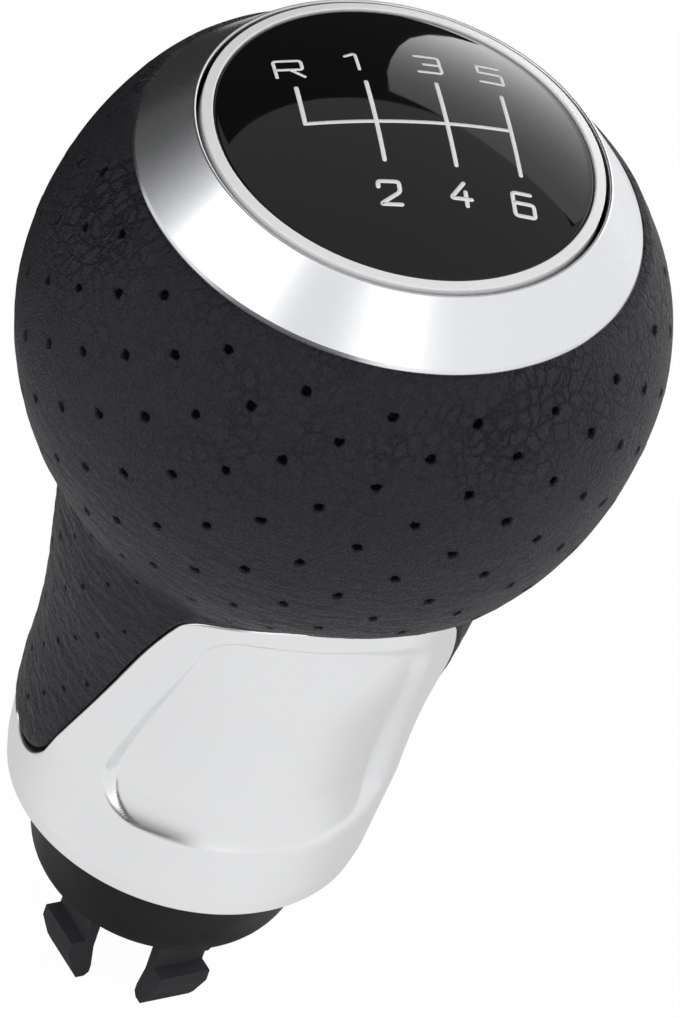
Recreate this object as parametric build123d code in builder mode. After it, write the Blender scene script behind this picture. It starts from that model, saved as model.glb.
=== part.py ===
# Gear shift knob: a leather ball and neck with a satin top ring, a shift cap, a satin lower
# collar with thumb recesses, and a snap-in base that slides on the gear lever.
# Frame: millimetres, +Z up along the lever, +X to the driver's right, +Y forward.
# The origin is on the knob's axis, level with the lowest points of the snap hooks.
import math
import os

from build123d import *

os.makedirs("parts", exist_ok=True)

# Ball and neck, measured on the outside of leather and collar
ball_radius = 26.5
neck_top_radius = 18.5
neck_height = 34.5
neck_upper_pull = 9.5
neck_lower_pull = 13.0
stem_radius = 16.4
stem_height = 10.0
stem_foot_radius = 15.7
stem_foot_height = 1.3
leather_thickness = 1.3

# Lower collar
collar_thickness = 2.0
collar_overhang = 0.5
collar_foot_chamfer = 0.8
tongue_drop = 0.2
tongue_corner_round = 4.0
notch_floor_height = 5.7
notch_floor_round = 4.7
notch_side_angle = 21.6

# Thumb recess in each tongue
recess_top_drop = 1.4
recess_top_half = 10.0
recess_top_round = 3.0
recess_top_depth = 0.5
recess_low_depth = 1.5
recess_low_half = 13.6
recess_low_height = 8.0
recess_low_round = 4.5
recess_cove = 3.4

# Leather edges
leather_edge_gap = 0.35
leather_tip_round = 5.0
leather_bezel_gap = 0.15

# Top ring
bezel_outer_radius = 21.65
bezel_width = 4.4
bezel_height = 5.45
bezel_sink = 0.7
bezel_lip_width = 0.45
bezel_lip_height = 0.5
bezel_edge_depth = 0.8
bezel_thickness = 1.8

# Cap rim and shift cap
rim_gap = 0.3
rim_width = 1.0
rim_proud = 0.1
rim_height = 3.65
rim_floor = 1.0
rim_ledge_width = 2.45
rim_edge_round = 0.3
cap_clearance = 0.08
cap_edge_drop = 0.2
cap_edge_round = 0.25
cap_dome_height = 2.2

# Lever bore and sleeve of the base insert
lever_bore_radius = 5.0
lever_bore_depth = 41.6
bore_mouth_chamfer = 0.6
sleeve_wall = 3.5
sleeve_clearance = 0.15

# Flange of the base insert
flange_height = 11.6
flange_clearance = 0.25
flange_side_height = 2.4
flange_side_taper = 0.75
flange_groove_depth = 0.25
flange_groove_width = 0.5
flange_shoulder_height = 4.2
flange_shoulder_taper = 1.8
flange_bottom_margin = 0.3

# Snap hooks
hook_count = 4
hook_turn = 14.0
hook_drop = 8.4
hook_sink = 2.1
hook_width = 4.8
hook_thickness = 1.0
hook_lever_clearance = 0.35
hook_foot_reach = 0.4
hook_foot_height = 1.2
hook_foot_taper = 2.4
hook_foot_chamfer = 0.4
hook_barb_reach = 1.4
hook_barb_height = 4.5
hook_barb_edge = 1.2
hook_lead_height = 0.8
hook_lead_width = 0.5
hook_lead_slope = 1.1

# Room by which a cutter runs past what it cuts
cut_room = 5.0


# Heights, from the hook tips up
flange_bottom_z = hook_drop
core_bottom_z = flange_bottom_z + flange_height
collar_bottom_z = core_bottom_z - collar_overhang
stem_foot_z = core_bottom_z + stem_foot_height
stem_top_z = core_bottom_z + stem_height
neck_top_z = core_bottom_z + neck_height
ball_centre_z = neck_top_z + math.sqrt(ball_radius**2 - neck_top_radius**2)
bezel_outer_z = ball_centre_z + math.sqrt(ball_radius**2 - bezel_outer_radius**2) - bezel_sink
bezel_inner_radius = bezel_outer_radius - bezel_width
bezel_inner_z = bezel_outer_z + bezel_height
bezel_slope = math.atan2(bezel_height, bezel_width)
bezel_seat_z = bezel_inner_z - bezel_thickness / math.cos(bezel_slope)
bezel_edge_z = bezel_outer_z - bezel_edge_depth
rim_outer_radius = bezel_inner_radius - rim_gap
rim_inner_radius = rim_outer_radius - rim_width
rim_ledge_radius = rim_inner_radius - rim_ledge_width
rim_top_z = bezel_inner_z + rim_proud
rim_bottom_z = rim_top_z - rim_height
rim_ledge_z = rim_bottom_z + rim_floor
lever_bore_top_z = flange_bottom_z + lever_bore_depth
sleeve_radius = lever_bore_radius + sleeve_wall
reach = ball_radius + cut_room
ceiling_z = ball_centre_z + ball_radius + cut_room


def neck_curve(top_depth, top_z, low_depth, low_z):
    """Curve of the neck, from the ball's crease down to the stem, some depth under the surface."""
    top_radius = neck_top_radius - top_depth
    low_radius = stem_radius - low_depth
    return Bezier(
        (top_radius, top_z),
        (top_radius, neck_top_z - neck_upper_pull),
        (low_radius, stem_top_z + neck_lower_pull),
        (low_radius, low_z),
    )


def knob_side(depth, top_radius):
    """Side of the knob's body, some depth under its surface. Gives its top and bottom points."""
    inner_ball = ball_radius - depth
    crease_radius = neck_top_radius - depth
    crease_z = ball_centre_z - math.sqrt(inner_ball**2 - crease_radius**2)
    ball_arc = ThreePointArc(
        (top_radius, ball_centre_z + math.sqrt(inner_ball**2 - top_radius**2)),
        (inner_ball, ball_centre_z),
        (crease_radius, crease_z),
    )
    neck = neck_curve(depth, crease_z, depth, stem_top_z)
    stem = Line(neck @ 1, (stem_foot_radius - depth, stem_foot_z))
    foot = Line(stem @ 1, (stem_foot_radius - depth, core_bottom_z))
    return ball_arc @ 0, foot @ 1


def notch_face(gap, floor_round):
    """Side view of what lies above the collar's edge, moved in from it by a gap."""
    half_angle = math.radians(notch_side_angle)
    floor_z = collar_bottom_z + notch_floor_height
    apex_z = floor_z - notch_floor_round * (1 / math.sin(half_angle) - 1)
    apex_z = apex_z + gap / math.sin(half_angle)
    shelf_z = neck_top_z - tongue_drop + gap
    corner_y = (shelf_z - apex_z) * math.tan(half_angle)
    with BuildSketch(Plane.YZ) as side:
        with BuildLine():
            Polyline(
                (0, apex_z),
                (corner_y, shelf_z),
                (reach, shelf_z),
                (reach, ceiling_z),
                (-reach, ceiling_z),
                (-reach, shelf_z),
                (-corner_y, shelf_z),
                close=True,
            )
        make_face()
        by_height = side.vertices().group_by(Axis.Y)
        corners = by_height[1].sort_by(Axis.X)[1:3]
        fillet(by_height[0], floor_round)
        fillet(corners, tongue_corner_round)
    return side.sketch


# Lower collar: a shell round the neck, with two tongues and two notches
with BuildPart() as collar_shell:
    with BuildSketch(Plane.XZ):
        with BuildLine():
            collar_inner_radius = stem_foot_radius - collar_thickness
            outer_neck = neck_curve(0, neck_top_z, 0, stem_top_z)
            inner_neck = neck_curve(collar_thickness, neck_top_z, collar_thickness, stem_top_z)
            Polyline(
                outer_neck @ 1,
                (stem_foot_radius, stem_foot_z),
                (stem_foot_radius - collar_foot_chamfer, collar_bottom_z),
                (collar_inner_radius, collar_bottom_z),
                (collar_inner_radius, stem_foot_z),
                inner_neck @ 1,
            )
            Line(inner_neck @ 0, outer_neck @ 0)
        make_face()
    revolve(axis=Axis.Z)
    extrude(notch_face(0, notch_floor_round), amount=reach, both=True, mode=Mode.SUBTRACT)

# Scoop of the thumb recess: a ring with a coved floor, kept only within the recess outline
recess_low_z = collar_bottom_z + recess_low_height
with BuildPart() as recess:
    with BuildSketch(Plane.XZ):
        with BuildLine():
            floor = neck_curve(recess_top_depth, neck_top_z, recess_low_depth, recess_low_z + recess_cove)
            cove = TangentArc(floor @ 1, (stem_radius, recess_low_z), tangent=floor % 1)
            Polyline(cove @ 1, (reach, recess_low_z), (reach, neck_top_z), floor @ 0)
        make_face()
    revolve(axis=Axis.Z)
    with BuildSketch(Plane.XZ) as outline:
        with BuildLine():
            recess_top_z = neck_top_z - tongue_drop - recess_top_drop
            Polyline(
                (-recess_top_half, recess_top_z),
                (recess_top_half, recess_top_z),
                (recess_low_half, recess_low_z),
                (-recess_low_half, recess_low_z),
                close=True,
            )
        make_face()
        fillet(outline.vertices().group_by(Axis.Y)[-1], recess_top_round)
        fillet(outline.vertices().group_by(Axis.Y)[0], recess_low_round)
    extrude(amount=reach, both=True, mode=Mode.INTERSECT)

with BuildPart() as lower_collar:
    add(collar_shell.part)
    add(recess.part, mode=Mode.SUBTRACT)
lower_collar.part.label = "lower_collar"

# Leather cover: the skin of ball and neck, from the top ring down to the collar's edge
leather_top_radius = bezel_outer_radius + leather_bezel_gap
with BuildPart() as leather_cover:
    with BuildSketch(Plane.XZ):
        with BuildLine():
            outer_top, outer_foot = knob_side(0, leather_top_radius)
            inner_top, inner_foot = knob_side(leather_thickness, leather_top_radius)
            Line(outer_top, inner_top)
            Line(outer_foot, inner_foot)
        make_face()
    revolve(axis=Axis.Z)
    extrude(notch_face(leather_edge_gap, leather_tip_round), amount=reach, both=True, mode=Mode.INTERSECT)
leather_cover.part.label = "leather_cover"

# Top ring: a satin cone between leather and cap, with a thin lip at its outer edge
with BuildPart() as top_bezel:
    with BuildSketch(Plane.XZ):
        with BuildLine():
            Polyline(
                (bezel_inner_radius, bezel_inner_z),
                (bezel_outer_radius - bezel_lip_width, bezel_outer_z + bezel_lip_height),
                (bezel_outer_radius, bezel_outer_z),
                (bezel_outer_radius, bezel_edge_z),
                (bezel_inner_radius, bezel_seat_z),
                close=True,
            )
        make_face()
    revolve(axis=Axis.Z)
top_bezel.part.label = "top_bezel"

# Cap rim: a bright ring with a ledge that carries the cap
with BuildPart() as cap_rim:
    with BuildSketch(Plane.XZ):
        with BuildLine():
            Polyline(
                (rim_ledge_radius, rim_bottom_z),
                (rim_outer_radius, rim_bottom_z),
                (rim_outer_radius, rim_top_z),
                (rim_inner_radius, rim_top_z),
                (rim_inner_radius, rim_ledge_z),
                (rim_ledge_radius, rim_ledge_z),
                close=True,
            )
        make_face()
    revolve(axis=Axis.Z)
    fillet(cap_rim.edges().group_by(Axis.Z)[-1], rim_edge_round)
cap_rim.part.label = "cap_rim"

# Shift cap: a gloss disc with a low dome
cap_radius = rim_inner_radius - cap_clearance
cap_edge_z = rim_top_z - cap_edge_drop
dome_radius = (cap_radius**2 + cap_dome_height**2) / (2 * cap_dome_height)
with BuildPart() as shift_cap:
    with BuildSketch(Plane.XZ) as cap_section:
        with BuildLine():
            dome = RadiusArc((0, cap_edge_z + cap_dome_height), (cap_radius, cap_edge_z), dome_radius)
            Polyline(dome @ 1, (cap_radius, rim_ledge_z), (0, rim_ledge_z), dome @ 0)
        make_face()
        cap_side = cap_section.vertices().group_by(Axis.X)[-1]
        fillet(cap_side.sort_by(Axis.Y)[-1], cap_edge_round)
    revolve(axis=Axis.Z)
shift_cap.part.label = "shift_cap"

# One snap hook: a finger with a barb outside and a small foot inside
hook_foot_radius = lever_bore_radius + hook_lever_clearance
hook_inner_radius = hook_foot_radius + hook_foot_reach
hook_outer_radius = hook_inner_radius + hook_thickness
hook_barb_radius = hook_outer_radius + hook_barb_reach
hook_lead_radius = hook_barb_radius - hook_lead_slope
with BuildPart() as hook:
    with BuildSketch(Plane.XZ):
        with BuildLine():
            Polyline(
                (hook_inner_radius, flange_bottom_z + hook_sink),
                (hook_outer_radius, flange_bottom_z + hook_sink),
                (hook_outer_radius, hook_barb_height),
                (hook_barb_radius, hook_barb_height),
                (hook_barb_radius, hook_barb_height - hook_barb_edge),
                (hook_lead_radius, hook_lead_height),
                (hook_lead_radius - hook_lead_width, 0),
                (hook_foot_radius + hook_foot_chamfer, 0),
                (hook_foot_radius, hook_foot_chamfer),
                (hook_foot_radius, hook_foot_height),
                (hook_inner_radius, hook_foot_height + hook_foot_taper),
                close=True,
            )
        make_face()
    extrude(amount=hook_width / 2, both=True)

# Base insert: a sleeve on the lever, a rounded flange and a ring of snap hooks
flange_top_radius = collar_inner_radius - flange_clearance
groove_z = core_bottom_z - flange_side_height
groove_radius = flange_top_radius - flange_side_taper
shoulder_radius = flange_top_radius - flange_shoulder_taper
shoulder_z = flange_bottom_z + flange_shoulder_height
with BuildPart() as base_insert:
    with BuildSketch(Plane.XZ):
        with BuildLine():
            outside = Polyline(
                (lever_bore_radius, lever_bore_top_z),
                (sleeve_radius, lever_bore_top_z),
                (sleeve_radius, core_bottom_z),
                (flange_top_radius, core_bottom_z),
                (groove_radius, groove_z),
                (groove_radius - flange_groove_depth, groove_z),
                (groove_radius - flange_groove_depth, groove_z - flange_groove_width),
                (groove_radius, groove_z - flange_groove_width),
                (shoulder_radius, shoulder_z),
            )
            bowl = TangentArc(
                outside @ 1,
                (hook_outer_radius + flange_bottom_margin, flange_bottom_z),
                tangent=outside % 1,
            )
            Polyline(
                bowl @ 1,
                (lever_bore_radius + bore_mouth_chamfer, flange_bottom_z),
                (lever_bore_radius, flange_bottom_z + bore_mouth_chamfer),
                outside @ 0,
            )
        make_face()
    revolve(axis=Axis.Z)
    with PolarLocations(0, hook_count, start_angle=hook_turn):
        add(hook.part)
base_insert.part.label = "base_insert"

# Core: the moulded body that carries every other piece
with BuildPart() as core:
    with BuildSketch(Plane.XZ):
        with BuildLine():
            core_top, core_foot = knob_side(leather_thickness, bezel_outer_radius)
            Polyline(
                core_foot,
                (0, core_bottom_z),
                (0, ceiling_z),
                (bezel_outer_radius, ceiling_z),
                core_top,
            )
        make_face()
    revolve(axis=Axis.Z)
    with BuildSketch(Plane.XZ):
        with BuildLine():
            Polyline(
                (0, rim_bottom_z),
                (bezel_inner_radius, rim_bottom_z),
                (bezel_inner_radius, bezel_seat_z),
                (bezel_outer_radius, bezel_edge_z),
                (reach, bezel_edge_z),
                (reach, ceiling_z),
                (0, ceiling_z),
                close=True,
            )
        make_face()
    revolve(axis=Axis.Z, mode=Mode.SUBTRACT)
    add(collar_shell.part, mode=Mode.SUBTRACT)
    with Locations((0, 0, core_bottom_z)):
        Cylinder(
            sleeve_radius + sleeve_clearance,
            lever_bore_top_z + sleeve_clearance - core_bottom_z,
            align=(Align.CENTER, Align.CENTER, Align.MIN),
            mode=Mode.SUBTRACT,
        )
core.part.label = "core"

for piece in (core, leather_cover, top_bezel, cap_rim, shift_cap, lower_collar, base_insert):
    export_step(piece.part, f"parts/{piece.part.label}.step")
    box = piece.part.bounding_box()
    print(piece.part.label, round(piece.part.volume), [round(v, 2) for v in (*box.min, *box.max)])
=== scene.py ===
# %% [markdown]
# # A leather gear shift knob
#
# The knob is a ball of perforated leather on a waisted neck. A satin ring and a gloss cap with the
# shift pattern close its top, a pale satin collar holds its neck, and a black socket with snap
# hooks comes out below. The solid parts are ready in the frame, at their real size. This lesson
# gives each of them its surface: first the camera and the studio, then one piece after another.

# %% Load the frame
import math
from bisect import bisect_right

import bpy
from mathutils import Matrix, Vector, noise


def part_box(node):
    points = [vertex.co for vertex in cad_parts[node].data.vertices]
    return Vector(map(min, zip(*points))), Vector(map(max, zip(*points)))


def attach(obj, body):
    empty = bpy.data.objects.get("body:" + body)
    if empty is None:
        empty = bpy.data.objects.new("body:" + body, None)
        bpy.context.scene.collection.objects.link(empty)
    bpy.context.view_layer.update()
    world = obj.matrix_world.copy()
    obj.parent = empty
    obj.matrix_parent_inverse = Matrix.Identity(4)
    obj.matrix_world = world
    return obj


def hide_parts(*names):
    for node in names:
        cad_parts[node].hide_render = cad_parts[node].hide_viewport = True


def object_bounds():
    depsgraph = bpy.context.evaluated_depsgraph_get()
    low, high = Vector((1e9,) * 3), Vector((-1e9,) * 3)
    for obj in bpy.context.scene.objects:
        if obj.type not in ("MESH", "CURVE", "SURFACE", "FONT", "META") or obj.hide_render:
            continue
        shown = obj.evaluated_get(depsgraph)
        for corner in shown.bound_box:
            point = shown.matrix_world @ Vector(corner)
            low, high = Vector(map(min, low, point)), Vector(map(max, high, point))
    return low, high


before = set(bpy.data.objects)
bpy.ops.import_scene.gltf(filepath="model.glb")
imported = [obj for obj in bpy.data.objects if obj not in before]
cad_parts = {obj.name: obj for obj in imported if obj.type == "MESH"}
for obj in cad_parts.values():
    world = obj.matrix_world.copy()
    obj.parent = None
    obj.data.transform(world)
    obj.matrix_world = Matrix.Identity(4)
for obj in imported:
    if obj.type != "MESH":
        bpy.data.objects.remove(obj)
cad_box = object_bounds()
MM = 0.001
print("solids in the frame:", sorted(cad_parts))

# %% [markdown]
# ## The camera
#
# The picture looks taken from far away with a long lens, from above and with the camera rolled, so
# the knob leans in the frame. A long lens is made here in the same way: a distant camera, and a lens
# that frames a strip as tall as the knob looks.

# %% Camera
VIEW_TURN = math.radians(-27.0)
VIEW_HEIGHT = math.radians(41.26)
VIEW_ROLL = math.radians(19.2)
CAMERA_DISTANCE = 1.2
FRAMED_HEIGHT = 83.947 * MM
AIM_RIGHT = 4.74 * MM
AIM_HEIGHT = 54.22 * MM
SENSOR_HEIGHT_MM = 36.0

picture_right = Vector((math.cos(VIEW_TURN), math.sin(VIEW_TURN), 0))
away = Vector((-math.sin(VIEW_TURN), math.cos(VIEW_TURN), 0))
to_camera = math.sin(VIEW_HEIGHT) * Vector((0, 0, 1)) - math.cos(VIEW_HEIGHT) * away
picture_up = to_camera.cross(picture_right)
camera_right = math.cos(VIEW_ROLL) * picture_right + math.sin(VIEW_ROLL) * picture_up
camera_up = to_camera.cross(camera_right)
aim = AIM_RIGHT * picture_right + Vector((0, 0, AIM_HEIGHT))

camera = bpy.data.objects.new("camera", bpy.data.cameras.new("camera"))
bpy.context.scene.collection.objects.link(camera)
camera.data.sensor_fit = "VERTICAL"
camera.data.sensor_height = SENSOR_HEIGHT_MM
camera.data.lens = SENSOR_HEIGHT_MM * CAMERA_DISTANCE / FRAMED_HEIGHT
camera.data.clip_end = 10.0
axes = Matrix((camera_right, camera_up, to_camera)).transposed()
camera.matrix_world = Matrix.Translation(aim + CAMERA_DISTANCE * to_camera) @ axes.to_4x4()
bpy.context.scene.camera = camera
print("lens, mm:", round(camera.data.lens, 1))

# %% [markdown]
# ## Node helpers
#
# Every finish below is a small node tree. These helpers keep the trees short: one starts a material
# and gives back its shader, and one adds a node, sets its values and links its inputs. The others
# carry a value from one range to another, do a sum, make soft noise and mix two values.

# %% Node helpers
def start_finish(name):
    """A new material and its main shader."""
    material = bpy.data.materials.new(name)
    material.use_nodes = True
    return material, material.node_tree.nodes["Principled BSDF"]


def add_node(tree, kind, inputs=None, **settings):
    """Add a node. An input is given a plain value, or an output socket to link from."""
    node = tree.nodes.new(kind)
    for key, value in settings.items():
        setattr(node, key, value)
    for key, value in (inputs or {}).items():
        if isinstance(value, bpy.types.NodeSocket):
            tree.links.new(value, node.inputs[key])
        else:
            node.inputs[key].default_value = value
    return node


def spread(tree, value, low, high, to_low=0.0, to_high=1.0, curve="SMOOTHSTEP"):
    """A value carried over from one range to another."""
    inputs = {"Value": value, "From Min": low, "From Max": high, "To Min": to_low, "To Max": to_high}
    return add_node(tree, "ShaderNodeMapRange", inputs, interpolation_type=curve).outputs["Result"]


def calc(tree, operation, *values):
    """The number that a sum gives."""
    return add_node(tree, "ShaderNodeMath", dict(enumerate(values)), operation=operation).outputs["Value"]


def vector_calc(tree, operation, *values):
    """The node of a sum on vectors."""
    return add_node(tree, "ShaderNodeVectorMath", dict(enumerate(values)), operation=operation)


def clouds(tree, place, scale, detail, output="Fac"):
    """Soft noise at a place, as a number or as a colour."""
    inputs = {"Vector": place, "Scale": scale, "Detail": detail}
    return add_node(tree, "ShaderNodeTexNoise", inputs).outputs[output]


def mixed(tree, share, first, second, kind="RGBA"):
    """Two colours or two numbers, mixed by a share."""
    inputs = {"Factor": share, "A": first, "B": second}
    return add_node(tree, "ShaderNodeMix", inputs, data_type=kind).outputs["Result"]


# %% [markdown]
# ## The studio
#
# A product picture on white is lit by large soft sources, with some black card to give the metal
# its dark side. The world is the room: pale all round, and dark behind the knob on the left, where
# the cap mirrors black. Camera rays see plain white in its place. The floor is white paper. In
# mirrors it carries painted shade: it is a little dimmer close behind the knob, and a painted shadow
# makes it dark right under it.

# %% World
ROOM_LIGHT = 0.93
ROOM_DARK = 0.045
DARK_TURN = -25.0
DARK_HEIGHT = 42.0
DARK_CORE = math.cos(math.radians(48))
DARK_EDGE = math.cos(math.radians(66))


def studio_direction(turn, height):
    """Direction from the knob: degrees from straight behind it to the picture's right, and degrees up."""
    flat = math.cos(math.radians(turn)) * away + math.sin(math.radians(turn)) * picture_right
    return math.cos(math.radians(height)) * flat + math.sin(math.radians(height)) * Vector((0, 0, 1))


world = bpy.data.worlds.new("studio")
world.use_nodes = True
bpy.context.scene.world = world
tree = world.node_tree
direction = add_node(tree, "ShaderNodeTexCoord").outputs["Generated"]

dark_middle = studio_direction(DARK_TURN, DARK_HEIGHT)
facing = vector_calc(tree, "DOT_PRODUCT", direction, dark_middle).outputs["Value"]
room = spread(tree, facing, DARK_EDGE, DARK_CORE, ROOM_LIGHT, ROOM_DARK)
rays = add_node(tree, "ShaderNodeLightPath")
seen = mixed(tree, rays.outputs["Is Camera Ray"], room, 1.0, "FLOAT")
tree.nodes["Background"].inputs["Color"].default_value = (1, 1, 1, 1)
tree.links.new(seen, tree.nodes["Background"].inputs["Strength"])
print("room light:", ROOM_LIGHT)

# %% Floor
FLOOR_HALF = 3.0
FLOOR_DROP = 0.05 * MM
FLOOR_SHARE = 0.015
MIRRORED_SHARE = 0.35
MIRRORED_GLOW = 1.0
PAPER_WHITE = 0.9
PAPER_BOUNCE = 0.45
BEHIND_PAINTED_SHADE = 0.24
BEHIND_FROM = (-20 * MM, 10 * MM)
BEHIND_TO = (50 * MM, 90 * MM)
UNDER_PAINTED_SHADOW = 0.1
UNDER_REACH = (12 * MM, 20 * MM)


def flat_panel(name, corners, material):
    """One flat panel of the stage."""
    mesh = bpy.data.meshes.new(name)
    mesh.from_pydata(corners, [], [range(len(corners))])
    mesh.materials.append(material)
    panel = bpy.data.objects.new(name, mesh)
    bpy.context.scene.collection.objects.link(panel)
    return panel


def white_floor():
    """Paper white: plain white to the eye with a share of its shading; in mirrors, painted shade behind and
    under the knob.
    """
    material, shader = start_finish("white_floor")
    tree = material.node_tree
    tree.nodes.remove(shader)
    rays = add_node(tree, "ShaderNodeLightPath")
    seen = rays.outputs["Is Camera Ray"]
    mirrored = rays.outputs["Is Glossy Ray"]
    bounce = spread(tree, rays.outputs["Is Diffuse Ray"], 0, 1, PAPER_WHITE, PAPER_BOUNCE, "LINEAR")
    paper = add_node(tree, "ShaderNodeBsdfDiffuse", {"Color": bounce})
    place = add_node(tree, "ShaderNodeNewGeometry").outputs["Position"]
    behind = vector_calc(tree, "DOT_PRODUCT", place, away).outputs["Value"]
    reach = vector_calc(tree, "LENGTH", place).outputs["Value"]
    # Painted shade for mirrors: the glow dims close behind the knob, and a painted shadow darkens it right
    # under the knob.
    dimming = spread(tree, behind, *BEHIND_TO, BEHIND_PAINTED_SHADE, 0)
    behind_painted_shade = calc(tree, "MULTIPLY", spread(tree, behind, *BEHIND_FROM), dimming)
    bright = spread(tree, behind_painted_shade, 0, 1, MIRRORED_GLOW, 0, "LINEAR")
    mirror_glow = calc(tree, "MULTIPLY", bright, spread(tree, reach, *UNDER_REACH, UNDER_PAINTED_SHADOW, 1))
    glow = mixed(tree, seen, mirror_glow, 1.0, "FLOAT")
    white = add_node(tree, "ShaderNodeEmission", {"Color": (1, 1, 1, 1), "Strength": glow})
    mirror_share = calc(tree, "MULTIPLY", mirrored, 1 - MIRRORED_SHARE)
    share = calc(tree, "MULTIPLY_ADD", seen, 1 - FLOOR_SHARE, mirror_share)
    layers = {0: share, 1: paper.outputs["BSDF"], 2: white.outputs["Emission"]}
    blend = add_node(tree, "ShaderNodeMixShader", layers)
    tree.links.new(blend.outputs["Shader"], tree.nodes["Material Output"].inputs["Surface"])
    return material


floor_z = cad_box[0][2] - FLOOR_DROP
FLOOR_SIGNS = ((-1, -1), (1, -1), (1, 1), (-1, 1))
floor_corners = [(x * FLOOR_HALF, y * FLOOR_HALF, floor_z) for x, y in FLOOR_SIGNS]
flat_panel("floor", floor_corners, white_floor())
print("floor at", round(floor_z / MM, 3), "mm")

# %% [markdown]
# ## Soft lights
#
# The ring's tone says where the lights stood: it is white where it faces a large soft light at the
# left front and another at the right front, and nearly black where it faces the left rear. The cap
# adds a dim round light above it.

# %% Soft lights
LIGHT_DISTANCE = 0.9
LIGHT_AIM = Vector((0, 0, 90 * MM))


def soft_light(name, turn, height, wide, tall, glow, shape="RECTANGLE"):
    """An area light that shines on the knob with an even glow, whatever its size."""
    lamp = bpy.data.lights.new(name, "AREA")
    lamp.shape = shape
    lamp.size = wide
    lamp.size_y = tall
    lamp.energy = 4 * glow * wide * tall
    light = bpy.data.objects.new(name, lamp)
    bpy.context.scene.collection.objects.link(light)
    light.location = LIGHT_AIM + LIGHT_DISTANCE * studio_direction(turn, height)
    light.rotation_euler = (LIGHT_AIM - light.location).to_track_quat("-Z", "Y").to_euler()
    light.visible_camera = False
    return light


soft_light("left_front_light", -122, 33, 0.7, 0.5, 0.95)
soft_light("right_front_light", 158, 27, 0.4, 0.6, 0.5)
soft_light("round_top_light", 6, 60, 0.84, 0.84, 0.27, "DISK")

# %% [markdown]
# ## Rear panel
#
# The cap also mirrors a tall panel at the right rear, with a curved left end. It is brightest low
# down, as a lit sheet is near its lamp. It is drawn as it looks from the knob, in degrees round and up.

# %% Rear panel
PANEL_OUTLINE = (
    (-4.2, 33), (-4.7, 28), (-4.4, 24), (-3.7, 19.4), (-2.8, 15.8),
    (-1.3, 12.7), (0.5, 10.7), (4, 9), (45, 7), (45, 37),
)
PANEL_FACING = studio_direction(18, 25)
PANEL_LOW = 0.25
PANEL_HIGH = 0.63
PANEL_GLOW = 0.9
PANEL_LOW_GLOW = 3.6

panel_finish, panel_shader = start_finish("panel_glow")
tree = panel_finish.node_tree
where = add_node(tree, "ShaderNodeNewGeometry").outputs["Position"]
level = add_node(tree, "ShaderNodeSeparateXYZ", {"Vector": where}).outputs["Z"]
lowness = spread(tree, level, PANEL_LOW, PANEL_HIGH, 1, 0, "LINEAR")
rising = calc(tree, "POWER", lowness, 2.0)
glow = calc(tree, "MULTIPLY_ADD", rising, PANEL_LOW_GLOW, PANEL_GLOW)
panel_shader.inputs["Base Color"].default_value = (0, 0, 0, 1)
panel_shader.inputs["Emission Color"].default_value = (1, 1, 1, 1)
tree.links.new(glow, panel_shader.inputs["Emission Strength"])
panel_corners = []
for turn, height in PANEL_OUTLINE:
    ray = studio_direction(turn, height)
    panel_corners.append(LIGHT_AIM + ray * (LIGHT_DISTANCE / ray.dot(PANEL_FACING)))
panel = flat_panel("right_rear_panel", panel_corners, panel_finish)
panel.visible_camera = False
print("rear panel with", len(panel_corners), "corners")

# %% [markdown]
# ## Black card
#
# Black card gives the metal its dark side: a sheet on the floor at the left rear, and a low strip in
# front. Both show in mirrors only: they cast no shadow and dim no soft light.

# %% Black card
CARD_NEAR = 0.09
CARD_FAR = 2.9
CARD_FROM_TURN = -78
CARD_TO_TURN = -14
CARD_LIFT = 0.1 * MM
FRONT_CARD = ((-192, -3), (-128, -3), (-128, 24), (-192, 24))

card_finish, card_shader = start_finish("black_card")
card_shader.inputs["Base Color"].default_value = (0.03, 0.03, 0.03, 1)
card_shader.inputs["Roughness"].default_value = 1.0
card_shader.inputs["Specular IOR Level"].default_value = 0.0
card_level = Vector((0, 0, floor_z + CARD_LIFT))
card_corners = []
for reach, turn in (
    (CARD_NEAR, CARD_FROM_TURN),
    (CARD_NEAR, CARD_TO_TURN),
    (CARD_FAR, CARD_TO_TURN),
    (CARD_FAR, CARD_FROM_TURN),
):
    card_corners.append(reach * studio_direction(turn, 0) + card_level)
card = flat_panel("black_card", card_corners, card_finish)
front_corners = [LIGHT_AIM + LIGHT_DISTANCE * studio_direction(turn, height) for turn, height in FRONT_CARD]
front_card = flat_panel("front_card", front_corners, card_finish)
for sheet in (card, front_card):
    sheet.visible_camera = False
    sheet.visible_diffuse = False
    sheet.visible_shadow = False
print("black card from", CARD_FROM_TURN, "to", CARD_TO_TURN, "degrees, and a low strip in front")

# %% [markdown]
# ## Turned shapes
#
# The ring, the rim and the cap are turned parts: one section swept round the axis. A section is a
# short list of corners, each with its own rounding, because a real edge is never sharp and its
# rounding is what catches the light. Beside each rounding stands a close support point, which keeps
# the flats flat under smooth shading.

# %% Turned shapes
TURN_STEPS = 288
ROUND_STEPS = 6
SUPPORT = 0.03 * MM


def rounded_section(corners):
    """Points of a closed section from (radius, height, rounding) corners."""
    points = []
    for index, (r, z, rounding) in enumerate(corners):
        here = Vector((r, z))
        if rounding == 0:
            points.append(here)
            continue
        before = (Vector(corners[index - 1][:2]) - here).normalized()
        after = (Vector(corners[(index + 1) % len(corners)][:2]) - here).normalized()
        half = before.angle(after) / 2
        reach = rounding / math.tan(half)
        middle = here + (before + after).normalized() * (rounding / math.sin(half))
        first = here + before * reach - middle
        last = here + after * reach - middle
        points.append(here + before * (reach + SUPPORT))
        for step in range(ROUND_STEPS + 1):
            spoke = first.slerp(last, step / ROUND_STEPS)
            points.append(middle + spoke * rounding)
        points.append(here + after * (reach + SUPPORT))
    return points


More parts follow.
